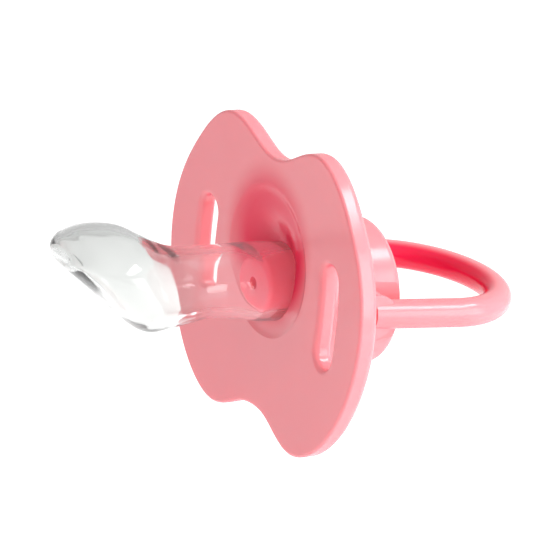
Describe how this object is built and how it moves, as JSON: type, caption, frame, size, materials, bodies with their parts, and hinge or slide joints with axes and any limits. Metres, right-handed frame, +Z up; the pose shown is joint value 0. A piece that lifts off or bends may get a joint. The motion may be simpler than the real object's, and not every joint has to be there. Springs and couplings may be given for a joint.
{
  "type": "pacifier",
  "caption": "Orthodontic pacifier: notched oval shield with two vent slots, clear silicone teat, round knob and a hinged pull ring.",
  "frame": {"origin": "middle of the whole object's box, on the teat's axis at the back of the shield's plate", "axes": "+Z up towards the nose notch, -Y forward along the teat into the mouth, +Y back towards the knob and ring, X across the face"},
  "size_m": [0.046, 0.0597, 0.0366],
  "materials": {
    "shield_plastic": "glossy pink polypropylene",
    "knob_plastic": "glossy pink polypropylene",
    "ring_plastic": "glossy pink polypropylene",
    "plug_plastic": "glossy pink polypropylene",
    "teat_silicone": "clear polished silicone"
  },
  "bodies": {
    "soother": {"shield": "shield_plastic", "teat": "teat_silicone", "plug": "plug_plastic", "knob": "knob_plastic"},
    "pull_ring": {"ring": "ring_plastic"}
  },
  "joints": [
    {"name": "ring_swing", "type": "hinge", "parent": "soother", "child": "pull_ring", "pos_m": [0, 0.0063, -0.0014], "axis": [1, 0, 0], "range_deg": [-100, 100]}
  ]
}
